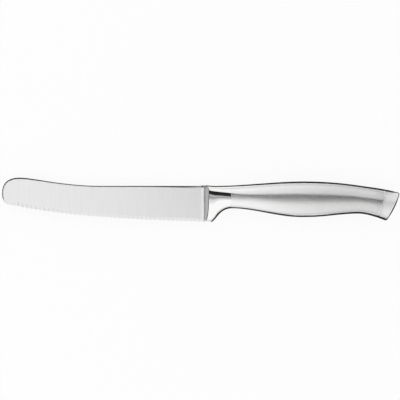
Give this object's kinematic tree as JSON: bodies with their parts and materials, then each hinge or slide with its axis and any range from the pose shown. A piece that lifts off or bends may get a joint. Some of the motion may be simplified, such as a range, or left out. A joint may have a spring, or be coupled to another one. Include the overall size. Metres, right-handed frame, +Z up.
{
  "type": "serrated table knife",
  "caption": "Serrated steel table knife with an upturned rounded tip, a polished bolster with finger guard, and a satin hollow handle with an end cap.",
  "frame": {"origin": "under the middle of the knife, on the surface that it lies on", "axes": "+X from the blade's tip to the handle's end, +Y from the cutting edge to the spine, +Z up, out of the blade's left flank"},
  "size_m": [0.24, 0.0272, 0.0132],
  "materials": {
    "blade_steel": "fine cross-ground satin",
    "bolster_steel": "polished",
    "shell_steel": "satin, brushed lengthwise",
    "cap_steel": "fine satin",
    "filler_resin": "as cast",
    "weight_steel": "as turned",
    "pin_steel": "as drawn"
  },
  "bodies": {
    "root": {"blade": "blade_steel", "bolster": "bolster_steel", "left_handle_shell": "shell_steel", "right_handle_shell": "shell_steel", "end_cap": "cap_steel", "handle_filler": "filler_resin", "balance_weight": "weight_steel", "tang_pin": "pin_steel"}
  },
  "joints": []
}
